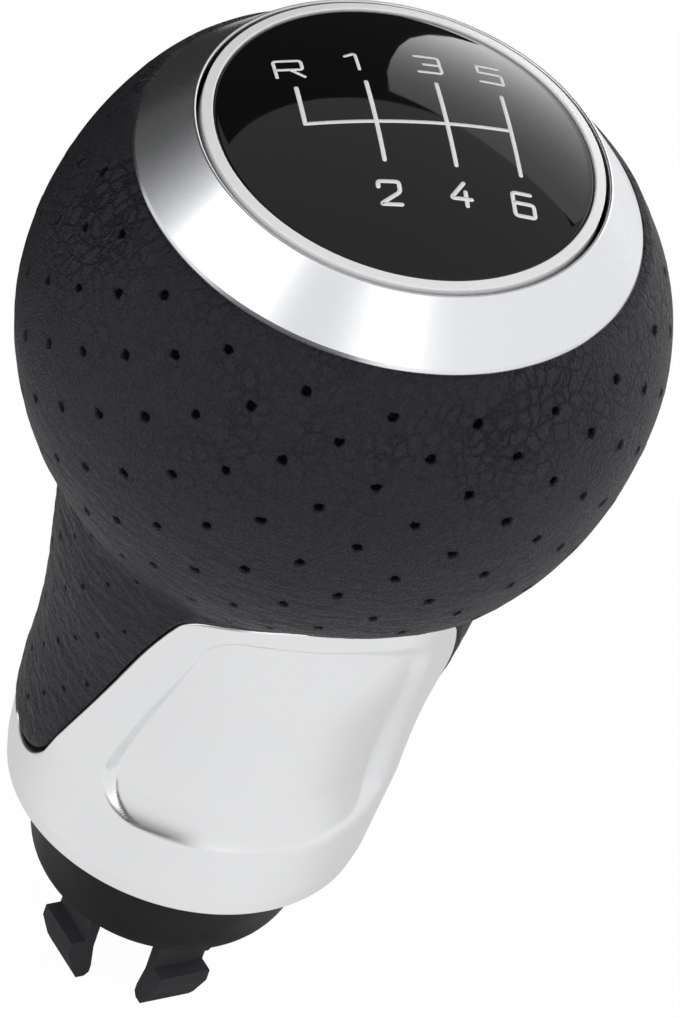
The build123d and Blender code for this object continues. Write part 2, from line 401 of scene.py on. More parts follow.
def link_mesh(name, verts, faces):
    """A smooth shaded mesh object that rides on the knob."""
    mesh = bpy.data.meshes.new(name)
    mesh.from_pydata(verts, [], faces)
    mesh.polygons.foreach_set("use_smooth", [True] * len(mesh.polygons))
    mesh.update()
    piece = bpy.data.objects.new(name, mesh)
    bpy.context.scene.collection.objects.link(piece)
    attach(piece, "root")
    return piece


def swept(name, sections):
    """Join closed sections that stand evenly round the axis. Points on the axis are shared."""
    verts = []
    index_of = {}
    for step, section in enumerate(sections):
        angle = 2 * math.pi * step / len(sections)
        for number, (r, z) in enumerate(section):
            if r == 0 and step > 0:
                index_of[step, number] = index_of[0, number]
                continue
            index_of[step, number] = len(verts)
            verts.append((r * math.cos(angle), r * math.sin(angle), z))
    faces = []
    for step, section in enumerate(sections):
        there = (step + 1) % len(sections)
        for number in range(len(section)):
            after = (number + 1) % len(section)
            corners = [index_of[step, number], index_of[there, number]]
            corners += [index_of[there, after], index_of[step, after]]
            kept = [c for place, c in enumerate(corners) if c != corners[place - 1]]
            if len(kept) > 2:
                faces.append(kept)
    return link_mesh(name, verts, faces)


# %% [markdown]
# ## The form of the body
#
# Leather and collar share one outline: a ball, a neck that narrows, and a stem that tapers a little to
# the collar's foot. The ball is read from the frame, and the neck is the same curve as on the solid.
# Leather can't fold into the sharp crease under the ball, so its own outline is eased there.

# %% Outline of ball and neck
LEATHER_RING_GAP = 0.15 * MM
STEM_RADIUS = 16.4 * MM
STEM_HEIGHT = 10.0 * MM
COLLAR_FOOT_RADIUS = 15.7 * MM
COLLAR_FOOT_HEIGHT = 1.8 * MM
NECK_HEIGHT = 34.5 * MM
NECK_UPPER_PULL = 9.5 * MM
NECK_LOWER_PULL = 13.0 * MM
OUTLINE_STEP = 0.05 * MM
CREASE_EASE = 3.5 * MM

leather_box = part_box("leather_cover")
ring_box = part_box("top_bezel")
ball_radius = leather_box[1].x
leather_top_radius = ring_box[1].x + LEATHER_RING_GAP
ball_centre_z = leather_box[1].z - math.sqrt(ball_radius**2 - leather_top_radius**2)
neck_top_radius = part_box("lower_collar")[1].y
neck_top_z = ball_centre_z - math.sqrt(ball_radius**2 - neck_top_radius**2)
stem_top_z = neck_top_z - NECK_HEIGHT + STEM_HEIGHT


def neck_point(share):
    """Point of the neck's curve, from the crease at 0 to the stem at 1."""
    rest = 1 - share
    top_share = rest**3 + 3 * rest**2 * share
    radius = neck_top_radius * top_share + STEM_RADIUS * (3 * rest * share**2 + share**3)
    height = (
        neck_top_z * rest**3
        + 3 * (neck_top_z - NECK_UPPER_PULL) * rest**2 * share
        + 3 * (stem_top_z + NECK_LOWER_PULL) * rest * share**2
        + stem_top_z * share**3
    )
    return Vector((radius, height))


def body_outline():
    """Dense outline points from the ring's edge down to the stem, and the count that lies on the ball."""
    top_slope = math.acos(leather_top_radius / ball_radius)
    crease_slope = -math.acos(neck_top_radius / ball_radius)
    ball_count = round(ball_radius * (top_slope - crease_slope) / OUTLINE_STEP)
    points = []
    for index in range(ball_count):
        slope = top_slope + (crease_slope - top_slope) * index / ball_count
        points.append(Vector((math.cos(slope), math.sin(slope))) * ball_radius + Vector((0, ball_centre_z)))
    neck_count = round((neck_top_z - stem_top_z) / OUTLINE_STEP)
    points += [neck_point(index / neck_count) for index in range(neck_count + 1)]
    return points, ball_count


def eased(points, crease):
    """The same outline with the crease drawn out into a smooth hollow."""
    widest = round(CREASE_EASE / OUTLINE_STEP)
    result = []
    for index, point in enumerate(points):
        reach = max(0, (widest - abs(index - crease)) // 2)
        near = points[max(0, index - reach):index + reach + 1]
        result.append(sum(near, Vector((0, 0))) / len(near))
    return result


body_points, crease_index = body_outline()
foot_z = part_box("lower_collar")[0].z + COLLAR_FOOT_HEIGHT
stem_foot = Vector((COLLAR_FOOT_RADIUS, foot_z))
stem_count = round((stem_top_z - foot_z) / OUTLINE_STEP)
stem_points = [body_points[-1].lerp(stem_foot, index / stem_count) for index in range(1, stem_count + 1)]
leather_points = eased(body_points + stem_points, crease_index)
print("ball radius", round(ball_radius / MM, 2), "mm, crease at", round(neck_top_z / MM, 2), "mm")

# %% [markdown]
# ## Following the outline
#
# The leather's mesh is laid out by the distance walked down the outline, as a tape measure would lie
# on it. These helpers give the place and the outward direction at any distance, and the radius at
# any height.

# %% Walking down the outline
def walked_lengths(points):
    """Distance walked at each point of an outline."""
    lengths = [0.0]
    for before, after in zip(points, points[1:]):
        lengths.append(lengths[-1] + (after - before).length)
    return lengths


leather_lengths = walked_lengths(leather_points)


def leather_at(walk):
    """Radius, height and outward direction of the leather's outline after a walk down it."""
    index = min(max(bisect_right(leather_lengths, walk) - 1, 0), len(leather_points) - 2)
    before = leather_points[index]
    after = leather_points[index + 1]
    step = after - before
    place = before.lerp(after, (walk - leather_lengths[index]) / step.length)
    along = step.normalized()
    return place.x, place.y, Vector((-along.y, along.x))


def height_lookup(points, z):
    """Index share of the outline point at a height, found by halving."""
    low = 0
    high = len(points) - 1
    while high - low > 1:
        middle = (low + high) // 2
        if points[middle].y > z:
            low = middle
        else:
            high = middle
    span = points[low].y - points[high].y
    return low + min(max((points[low].y - z) / span, 0), 1)


def radius_at(points, z):
    """Radius of an outline at a height."""
    share = height_lookup(points, z)
    index = min(int(share), len(points) - 2)
    return points[index].lerp(points[index + 1], share - index).x


def walk_to(z):
    """Distance walked down the leather to a height."""
    share = height_lookup(leather_points, z)
    index = min(int(share), len(leather_points) - 2)
    return leather_lengths[index] + (share - index) * (leather_lengths[index + 1] - leather_lengths[index])


crease_walk = leather_lengths[crease_index]
equator_walk = walk_to(ball_centre_z)
print("walk to the equator", round(equator_walk / MM, 2), "mm, to the crease", round(crease_walk / MM, 2))

# %% [markdown]
# ## The line between leather and collar
#
# Seen from the side, the collar's edge is a V with a round bottom and two shelves with round corners.
# One function gives its height at any distance from the middle. The leather follows the same line a
# small gap further in. At the left of the picture, leather shows on the far side of the notch, where an
# even V would show the collar. So on that side of each notch the leather is drawn on over the collar,
# with its edge nearly level with its tip. This is a guess for the picture. The solid has an even V.

# %% Edge line
NOTCH_SLOPE = math.radians(21.6)
NOTCH_FLOOR = 5.7 * MM
NOTCH_ROUND = 4.7 * MM
LEATHER_TIP_ROUND = 5.0 * MM
LEATHER_EDGE_GAP = 0.08 * MM
LEATHER_LAP = 0.93
LAP_RISE = (0.0 * MM, 2.0 * MM)
LAP_FALL = (8.5 * MM, 12.0 * MM)
SHELF_DROP = 0.2 * MM
SHELF_ROUND = 4.0 * MM
SHELF_CROWN = 0.5 * MM
TONGUE_FLAT = 0.9 * MM
TONGUE_FADE = (2.5 * MM, 10.5 * MM)
HALVINGS = 40

collar_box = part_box("lower_collar")
collar_bottom_z = collar_box[0].z


def edge_height(side, gap, tip_round):
    """Height of the edge line at a distance to the side of the notch's middle."""
    sine = math.sin(NOTCH_SLOPE)
    cosine = math.cos(NOTCH_SLOPE)
    notch_z = collar_bottom_z + NOTCH_FLOOR
    apex_z = notch_z - NOTCH_ROUND * (1 / sine - 1) + gap / sine
    shelf_z = neck_top_z - SHELF_DROP + gap
    corner = (shelf_z - apex_z) * sine / cosine
    corner_middle = corner + SHELF_ROUND * (1 - sine) / cosine
    side = abs(side)
    if side < tip_round * cosine:
        return apex_z + tip_round / sine - math.sqrt(tip_round**2 - side**2)
    if side < corner_middle - SHELF_ROUND * cosine:
        return apex_z + side * cosine / sine
    if side < corner_middle:
        return shelf_z - SHELF_ROUND + math.sqrt(SHELF_ROUND**2 - (side - corner_middle) ** 2)
    return shelf_z


def smooth(value, low, high):
    """Soft step from 0 at low to 1 at high."""
    share = min(max((value - low) / (high - low), 0), 1)
    return share * share * (3 - 2 * share)


def hump(value, rise, fall):
    """Soft step from 0 to 1 over one range, and back to 0 over another."""
    return smooth(value, *rise) * (1 - smooth(value, *fall))


def tongue_middle(angle):
    """1 in the middle of a tongue, 0 at its corners."""
    return 1 - smooth(abs(neck_top_radius * math.cos(angle)), *TONGUE_FADE)


def edge_on(points, angle, gap, tip_round):
    """Height of the edge line on a turned outline, at an angle round the axis."""
    low = collar_bottom_z
    high = neck_top_z + gap
    for _ in range(HALVINGS):
        middle = (low + high) / 2
        if middle < edge_height(radius_at(points, middle) * math.sin(angle), gap, tip_round):
            low = middle
        else:
            high = middle
    return low + SHELF_CROWN * tongue_middle(angle)


tip_z = edge_on(leather_points, 0, LEATHER_EDGE_GAP, LEATHER_TIP_ROUND)


def leather_edge(angle):
    """Height of the leather's lower edge. On the far side of a notch it laps over the collar."""
    plain = edge_on(leather_points, angle, LEATHER_EDGE_GAP, LEATHER_TIP_ROUND)
    across = STEM_RADIUS * math.sin(angle)
    return plain + (tip_z - plain) * LEATHER_LAP * hump(across, LAP_RISE, LAP_FALL)


print("leather tip at", round(tip_z / MM, 2), "mm, solid's tip at", round(leather_box[0].z / MM, 2), "mm")

# %% [markdown]
# ## The hide's layout
#
# Perforations sit in staggered rows, twenty to a row. The mesh is laid out on the same pattern: each
# hole has a cell of small squares, and the squares in its middle give way to a round hole. Staggered
# cells still share their corners, because a cell is an even number of squares wide.

# %% Layout of the perforations
HOLES_ROUND = 20
CELL_ACROSS = 16
CELL_DOWN = 8
HOLE_BLOCK = 4
ROW_PITCH = 3.12 * MM
FIRST_HOLE = math.radians(-101.5)
COLUMN_PINCH = 0.025
ROW_LEAN = 0.75 * MM

hide_columns = HOLES_ROUND * CELL_ACROSS
hide_step = ROW_PITCH / CELL_DOWN
camera_angle = VIEW_TURN - math.pi / 2
column_angles = []
for column in range(hide_columns):
    turn = 2 * math.pi * column / hide_columns
    column_angles.append(FIRST_HOLE + turn - COLUMN_PINCH * math.sin(turn))
edge_walks = []
for angle in column_angles:
    edge_walks.append(walk_to(leather_edge(angle)))
rows_up = math.ceil((equator_walk + 2 * ROW_LEAN) / ROW_PITCH)
rows_down = math.ceil((max(edge_walks) - equator_walk + 2 * ROW_LEAN) / ROW_PITCH)
first_walk = equator_walk - (rows_up + 0.5) * ROW_PITCH
hide_lines = (rows_up + rows_down + 1) * CELL_DOWN + 1
print("hide grid:", hide_columns, "by", hide_lines, "lines")

# %% [markdown]
# ## Folds and rolled edges
#
# Leather that is pulled round a ball gathers below it: fine folds run round the neck. Above, it is
# smooth with shallow lumps. At the ring and along the collar its edge is turned in, most of all over
# the collar's tongues, where the picture shows the ball flattened. The hide is drawn tight at the
# waist and stands a little proud in the notch. The ball is a touch fuller high on the picture's right
# and low on its left.

# %% Folds of the hide
HIDE_THICKNESS = 0.9 * MM
LUMP_HEIGHT = 0.05 * MM
LUMP_SCALE = 0.22
FOLD_HEIGHT = 0.07 * MM
FOLD_SCALES = Vector((0.16, 0.16, 0.62))
FOLD_SHIFT = Vector((0, 0, 40))
FINE_FOLD_SCALES = Vector((0.3, 0.3, 0.95))
FINE_FOLD_SHIFT = Vector((0, 0, 80))
RING_ROLL = 0.4 * MM
RING_ROLL_REACH = 1.0 * MM
EDGE_ROLL = 0.15 * MM
EDGE_ROLL_REACH = 0.4 * MM
TONGUE_REACH = 7.0 * MM
FAR_SIDE = (-6 * MM, 3 * MM)
WAIST_DEPTH = 0.1 * MM
WAIST_RISE = (2 * MM, 8 * MM)
WAIST_FALL = (20 * MM, 28 * MM)
NOTCH_PUFF = 0.15 * MM
PUFF_RISE = (24 * MM, 30 * MM)
BALL_SKEW = 0.4 * MM


def gathered(walk):
    """How far the hide is gathered into folds: none above the equator, most on the neck."""
    return smooth(walk, equator_walk - 6 * MM, crease_walk + 2 * MM)


def hide_relief(angle, walk, edge_walk):
    """Height of the hide's surface over its smooth outline."""
    around = ball_radius / MM
    place = Vector((around * math.cos(angle), around * math.sin(angle), walk / MM))
    lump = noise.noise(place * LUMP_SCALE)
    fold = abs(noise.noise(place * FOLD_SCALES + FOLD_SHIFT))
    fine_fold = abs(noise.noise(place * FINE_FOLD_SCALES + FINE_FOLD_SHIFT))
    relief = LUMP_HEIGHT * lump
    relief += FOLD_HEIGHT * gathered(walk) * (0.5 - 2.0 * fold + 0.3 - 1.2 * fine_fold)
    relief -= RING_ROLL * (1 - smooth(walk, 0, RING_ROLL_REACH))
    far_side = smooth(STEM_RADIUS * math.sin(angle), *FAR_SIDE)
    below = walk - crease_walk
    relief -= WAIST_DEPTH * far_side * hump(below, WAIST_RISE, WAIST_FALL)
    relief += NOTCH_PUFF * far_side * smooth(below, *PUFF_RISE)
    sideways = math.sin(angle - camera_angle)
    over = walk - equator_walk
    upper = smooth(walk, 1 * MM, 8 * MM) * (1 - smooth(over, -6 * MM, 4 * MM))
    lower = smooth(over, -8 * MM, 8 * MM) * (1 - smooth(below, 0, 4 * MM))
    relief += BALL_SKEW * max(sideways * upper, -sideways * lower, 0)
    to_edge = edge_walk - walk
    relief -= EDGE_ROLL * (1 - smooth(to_edge, 0, EDGE_ROLL_REACH)) ** 2
    return relief - TONGUE_FLAT * tongue_middle(angle) * (1 - smooth(to_edge, 0, TONGUE_REACH))


print("fold height:", round(FOLD_HEIGHT / MM, 3), "mm")

# %% [markdown]
# ## Building the hide
#
# Grid points beyond the hide's edges slide back onto them, so the mesh ends exactly on the ring's
# line and on the collar's line. A second, plain skin on the inside and two narrow strips make it a
# closed sheet.

# %% Hide builder
SNAP_SHARE = 0.3


class Hide:
    """The leather's mesh while it is being built."""

    def __init__(self):
        self.verts = []
        self.faces = []
        self.place = []
        self.pierced = []
        self.gathers = []
        self.grid = {}

    def add(self, angle, walk, edge_walk, sink=0.0, pierced=0.0, relief=True):
        """Add a point, a depth under the surface."""
        radius, height, outward = leather_at(walk)
        lift = -sink
        if relief:
            lift += hide_relief(angle, walk, edge_walk)
        radius += outward.x * lift
        height += outward.y * lift
        self.verts.append((radius * math.cos(angle), radius * math.sin(angle), height))
        self.gathers.append(gathered(walk))
        around = ball_radius / MM
        self.place.append((around * math.cos(angle), around * math.sin(angle), walk / MM))
        self.pierced.append(pierced)
        return len(self.verts) - 1

    def grid_walk(self, line, column):
        """Distance down the hide of a grid point, with the lean of the rows."""
        lean = ROW_LEAN * math.sin(column_angles[column] - camera_angle)
        return first_walk + line * hide_step + lean

    def point(self, line, column):
        """Index of a grid point, slid back onto the hide's edges."""
        column %= hide_columns
        walk = self.grid_walk(line, column)
        edge = edge_walks[column]
        snap = SNAP_SHARE * hide_step
        key = (line, column)
        if walk < snap:
            walk = 0.0
            key = ("top", column)
        elif walk > edge - snap:
            walk = edge
            key = ("edge", column)
        if key not in self.grid:
            self.grid[key] = self.add(column_angles[column], walk, edge)
        return self.grid[key]

    def face(self, *corners):
        """Add a face, without the corners that have slid together."""
        kept = [c for index, c in enumerate(corners) if c != corners[index - 1]]
        if len(kept) > 2:
            self.faces.append(kept)


hide = Hide()
print("hide started")

# %% [markdown]
# ## Punching the holes
#
# A punched hole is not a perfect circle: the hide is pushed up a little at its rim, and the rim is
# ragged. Each hole is five rings of points, from the square block that it replaces down to its floor.
# A ring has a radius and a depth in millimetres, and a share of painted shade, which paints the
# inside of the hole black. On the gathered neck the gathered hide draws the holes smaller.

# %% Holes
HOLE_RINGS = (
    (0.68, 0.0, 0.0),
    (0.53, -0.035, 0.0),
    (0.42, 0.07, 0.45),
    (0.34, 0.3, 1.0),
    (0.26, 0.75, 1.0),
)
HOLE_RAGGED = 0.45
HOLE_SHRINK = 0.45
HOLE_MARGIN = 0.5 * MM
RAGGED_SCALE = 1.9


def hole_is_clear(top_line, left_column):
    """True where the whole block of a hole lies inside the hide."""
    for line in (top_line, top_line + HOLE_BLOCK):
        for column in range(left_column, left_column + HOLE_BLOCK + 1):
            walk = hide.grid_walk(line, column % hide_columns)
            if not HOLE_MARGIN < walk < edge_walks[column % hide_columns] - HOLE_MARGIN:
                return False
    return True


def block_border(top_line, left_column):
    """Grid positions round a block, anticlockwise as seen from outside, from its lower left corner."""
    low = top_line + HOLE_BLOCK
    right = left_column + HOLE_BLOCK
    steps = range(HOLE_BLOCK)
    border = [(low, left_column + step) for step in steps]
    border += [(low - step, right) for step in steps]
    border += [(top_line, right - step) for step in steps]
    border += [(top_line + step, left_column) for step in steps]
    return border


def punch(top_line, left_column):
    """One ragged hole in place of a block of the grid."""
    border = block_border(top_line, left_column)
    centre_column = (left_column + HOLE_BLOCK // 2) % hide_columns
    centre_angle = column_angles[centre_column]
    centre_walk = hide.grid_walk(top_line + HOLE_BLOCK // 2, centre_column)
    edge = edge_walks[centre_column]
    radius = leather_at(centre_walk)[0]
    outer = [hide.point(line, column) for line, column in border]
    shrink = 1 - HOLE_SHRINK * smooth(centre_walk, equator_walk + 4 * MM, crease_walk + 3 * MM)
    for size, sink, pierced in HOLE_RINGS:
        ring = []
        for line, column in border:
            across = (column - left_column - HOLE_BLOCK / 2) * 2 * math.pi / hide_columns * radius
            down = (line - top_line - HOLE_BLOCK / 2) * hide_step
            spoke = Vector((across, down)).normalized()
            bent = spoke * RAGGED_SCALE
            ragged = noise.noise(Vector((centre_column + bent.x, top_line + bent.y, size)))
            spoke *= shrink * size * MM * (1 + HOLE_RAGGED * ragged)
            angle = centre_angle + spoke.x / radius
            ring.append(hide.add(angle, centre_walk + spoke.y, edge, shrink * sink * MM, shrink * pierced))
        for index in range(len(ring)):
            after = (index + 1) % len(ring)
            hide.face(outer[index], outer[after], ring[after], ring[index])
        outer = ring
    hide.face(*outer)


hole_squares = set()
hole_count = 0
for row in range(rows_up + rows_down + 1):
    shift = CELL_ACROSS // 2 * ((row - rows_up) % 2)
    for hole in range(HOLES_ROUND):
        left = hole * CELL_ACROSS + shift - HOLE_BLOCK // 2
        top = row * CELL_DOWN + (CELL_DOWN - HOLE_BLOCK) // 2
        if hole_is_clear(top, left):
            punch(top, left)
            hole_count += 1
            for line in range(top, top + HOLE_BLOCK):
                hole_squares |= {(line, column % hide_columns) for column in range(left, left + HOLE_BLOCK)}
print("perforations:", hole_count)

# %% [markdown]
# ## Closing the sheet
#
# The squares that no hole took become the surface. The lining is the same outline a hide's thickness
# further in. The place, the painted hole shade and the gathering of each point are stored for the finish.

# %% Hide surface and lining
LINING_ROWS = 24

for line in range(hide_lines - 1):
    for column in range(hide_columns):
        if (line, column) not in hole_squares:
            hide.face(
                hide.point(line + 1, column),
                hide.point(line + 1, column + 1),
                hide.point(line, column + 1),
                hide.point(line, column),
            )
lining = []
for row in range(LINING_ROWS + 1):
    ring = []
    for column in range(hide_columns):
        edge = edge_walks[column]
        walk = edge * row / LINING_ROWS
        ring.append(hide.add(column_angles[column], walk, edge, HIDE_THICKNESS, 0.0, False))
    lining.append(ring)
for column in range(hide_columns):
    after = (column + 1) % hide_columns
    for row in range(LINING_ROWS):
        hide.face(lining[row][column], lining[row][after], lining[row + 1][after], lining[row + 1][column])
    hide.face(hide.grid["top", column], hide.grid["top", after], lining[0][after], lining[0][column])
    hide.face(hide.grid["edge", after], hide.grid["edge", column], lining[-1][column], lining[-1][after])
leather = link_mesh("leather_hide", hide.verts, hide.faces)
place = leather.data.attributes.new("hide_place", "FLOAT_VECTOR", "POINT")
place.data.foreach_set("vector", [number for point in hide.place for number in point])
for name, values in (("hide_pierced", hide.pierced), ("hide_gathered", hide.gathers)):
    leather.data.attributes.new(name, "FLOAT", "POINT").data.foreach_set("value", values)
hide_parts("leather_cover")
print("hide:", len(hide.verts), "points,", len(hide.faces), "faces")

# %% [markdown]
# ## The leather's finish
#
# The hide is dyed charcoal, with a creased grain: patches between one and two millimetres wide are
# parted by fine dark cracks, deeper in some places than in others, with smaller pebbles and pores
# between them. The colour goes darker down in the cracks and pores: partly the dye, partly painted
# shade. On the gathered neck the creases give way to broad soft folds that run round it. The
# grain's coordinates and the gathering were stored with the mesh.

# %% Leather finish
SWAY_SCALE = 0.8
SWAY = (1.3, 1.3, 1.3)
CREASE_SCALE = 0.7
PEBBLE_SCALE = 1.9
PEBBLE_SHARE = 0.35
PATCH_SCALE = 0.1
PORE_SCALE = 4.6
FOLD_STRETCH = (0.45, 0.45, 1.25)
FOLD_SHARE = 3.4
GRAIN_DEPTH = 0.22 * MM
DEEP_GRAIN_DYE_AND_SHADE = (0.003, 0.0031, 0.0038, 1)
DYE_LIGHT = (0.029, 0.0296, 0.036, 1)
HOLE_PAINTED_SHADE = (0.001, 0.001, 0.001, 1)


def crack_distance(tree, place, scale):
    """Distance to the nearest crack of a cracked pattern."""
    cells = {"Vector": place, "Scale": scale, "Randomness": 1.0}
    return add_node(tree, "ShaderNodeTexVoronoi", cells, feature="DISTANCE_TO_EDGE").outputs["Distance"]


def hide_grain(tree, place):
    """Height of the grain, with its creases worn in patches, and the pores in it."""
    sway = clouds(tree, place, SWAY_SCALE, 2, "Color")
    swayed = vector_calc(tree, "MULTIPLY_ADD", sway, SWAY, place).outputs["Vector"]
    crease = spread(tree, crack_distance(tree, swayed, CREASE_SCALE), 0, 0.22)
    pebble = spread(tree, crack_distance(tree, swayed, PEBBLE_SCALE), 0, 0.3)
    down = add_node(tree, "ShaderNodeSeparateXYZ", {"Vector": place}).outputs["Z"]
    patch = spread(tree, clouds(tree, place, PATCH_SCALE, 2), 0.42, 0.65, 0.16, 0.7)
    wear_and_painted_light = calc(tree, "MULTIPLY", patch, spread(tree, down, 3, 16, 1, 0.3))
    cells = calc(tree, "MULTIPLY_ADD", pebble, PEBBLE_SHARE, crease)
    creased = calc(tree, "MULTIPLY_ADD", calc(tree, "SUBTRACT", cells, 0.85), wear_and_painted_light, 0.5)
    pores = clouds(tree, place, PORE_SCALE, 4)
    return calc(tree, "ADD", calc(tree, "SUBTRACT", pores, 0.5), creased), pores


def leather_finish():
    """Charcoal hide with creased grain and folds; painted shade darkens its cracks in part and paints its
    holes black.
    """
    material, shader = start_finish("charcoal_hide")
    tree = material.node_tree
    place = add_node(tree, "ShaderNodeAttribute", attribute_name="hide_place").outputs["Vector"]
    pierced = add_node(tree, "ShaderNodeAttribute", attribute_name="hide_pierced").outputs["Fac"]
    folded = add_node(tree, "ShaderNodeAttribute", attribute_name="hide_gathered").outputs["Fac"]
    grain, pores = hide_grain(tree, place)
    stretched = vector_calc(tree, "MULTIPLY", place, FOLD_STRETCH).outputs["Vector"]
    folds = calc(tree, "MULTIPLY", clouds(tree, stretched, 1.0, 3), folded)
    height = calc(tree, "MULTIPLY_ADD", folds, FOLD_SHARE, grain)
    bump = add_node(tree, "ShaderNodeBump", {"Strength": 1.0, "Distance": GRAIN_DEPTH, "Height": height})
    # Partly dye and partly painted shade: the colour goes darker down in the grain's cracks and pores.
    dye_and_grain_shade = mixed(tree, grain, DEEP_GRAIN_DYE_AND_SHADE, DYE_LIGHT)
    shader.inputs["Specular IOR Level"].default_value = 0.28
    shader.inputs["Specular Tint"].default_value = (0.9, 0.92, 1.0, 1)
    # Painted shade: the walls and floor of each hole are painted black for the dark inside the hole.
    tree.links.new(mixed(tree, pierced, dye_and_grain_shade, HOLE_PAINTED_SHADE), shader.inputs["Base Color"])
    tree.links.new(spread(tree, pores, 0.3, 0.7, 0.62, 0.42), shader.inputs["Roughness"])
    tree.links.new(bump.outputs["Normal"], shader.inputs["Normal"])
    return material


leather.data.materials.append(leather_finish())
print("leather finish:", leather.data.materials[0].name)

# %% [markdown]
# ## The collar
#
# The collar is a pressed and satin finished shell. Its edge follows the V line, and each tongue has a
# shallow thumb recess with soft walls and a coved lower end. The recess is made as a depth that is
# taken off the shell's radius: it grows softly from the outline inwards, and the cove runs out in a
# crisp lip below.

# %% Thumb recess
RECESS_TOP_DROP = 1.4 * MM
RECESS_TOP_HALF = 10.0 * MM
RECESS_TOP_ROUND = 3.0 * MM
RECESS_TOP_DEPTH = 0.5 * MM
RECESS_LOW_HALF = 13.6 * MM
RECESS_LOW_HEIGHT = 8.0 * MM
RECESS_LOW_ROUND = 4.5 * MM
RECESS_LOW_DEPTH = 1.5 * MM
RECESS_COVE = 5.4 * MM
RECESS_WALL = 0.55 * MM
RECESS_SOFT_WALL = 2.2 * MM
RECESS_CORNER_WALL = 0.6 * MM
CORNER_SHARES = (0.72, 0.95)
FULL_DEPTH_SHARE = 0.85

recess_top_z = collar_box[1].z - RECESS_TOP_DROP
recess_low_z = collar_bottom_z + RECESS_LOW_HEIGHT
cove_radius = (RECESS_LOW_DEPTH**2 + RECESS_COVE**2) / (2 * RECESS_LOW_DEPTH)


def corner_distance(first, second, rounding):
    """Distance outside a corner of two straight sides, with the corner rounded."""
    first += rounding
    second += rounding
    outside = math.hypot(max(first, 0), max(second, 0))
    return outside + min(max(first, second), 0) - rounding


def recess_depth(side, z):
    """Depth of the thumb recess at a distance to the side of the tongue's middle."""
    low_share = (recess_top_z - z) / (recess_top_z - recess_low_z)
    half = RECESS_TOP_HALF + (RECESS_LOW_HALF - RECESS_TOP_HALF) * low_share
    to_side = abs(side) - half
    upper = corner_distance(to_side, z - recess_top_z, RECESS_TOP_ROUND)
    lower = corner_distance(to_side, recess_low_z - z, RECESS_LOW_ROUND)
    wall_width = RECESS_WALL + (RECESS_SOFT_WALL - RECESS_WALL) * smooth(side, 0, RECESS_TOP_HALF)
    wall_width += RECESS_CORNER_WALL * smooth(low_share, *CORNER_SHARES)
    wall = smooth(-max(upper, lower), 0, wall_width)
    deepening = RECESS_LOW_DEPTH - RECESS_TOP_DEPTH
    floor = RECESS_TOP_DEPTH + deepening * smooth(low_share, 0, FULL_DEPTH_SHARE)
    into_cove = min(max(recess_low_z + RECESS_COVE - z, 0), RECESS_COVE)
    rise = cove_radius - math.sqrt(cove_radius**2 - into_cove**2)
    return max(min(floor * wall, RECESS_LOW_DEPTH - rise), 0)


print("recess from", round(recess_low_z / MM, 1), "to", round(recess_top_z / MM, 1), "mm")

# %% [markdown]
# ## The collar's shell
#
# The shell is one section for each of many angles: under the foot, up the outside, over the edge and
# down the inside. Where the leather laps over the collar, the outside is sunk to make room for it.

# %% Collar shell
COLLAR_THICKNESS = 1.9 * MM
COLLAR_EDGE_ROUND = 0.3 * MM
COLLAR_FOOT_CHAMFER = 0.35 * MM
COLLAR_COLUMNS = 576
COLLAR_ROWS = 130
COLLAR_LINING = 10
TONGUE_FLAT_FROM = 12.0 * MM
WING_SINK = 0.95 * MM
WING_RISE = (0.5 * MM, 2.5 * MM)
WING_FALL = (11.0 * MM, 15.0 * MM)
WING_FOOT = (-0.5 * MM, 0.2 * MM)
WING_HEAD = (20.0 * MM, 26.0 * MM)
SLOPE_STEP = 0.01
STEM_PARTS = 12

foot_outline = rounded_section(
    [
        (COLLAR_FOOT_RADIUS - COLLAR_THICKNESS, collar_bottom_z, 0),
        (COLLAR_FOOT_RADIUS - COLLAR_FOOT_CHAMFER, collar_bottom_z, 0.3 * MM),
        (COLLAR_FOOT_RADIUS, foot_z, 0.9 * MM),
        (STEM_RADIUS, stem_top_z, 0),
    ]
)
collar_points = body_points[crease_index:]
stem_end = collar_points[-1]
for part in range(1, STEM_PARTS + 1):
    collar_points.append(stem_end.lerp(foot_outline[-2], part / STEM_PARTS))


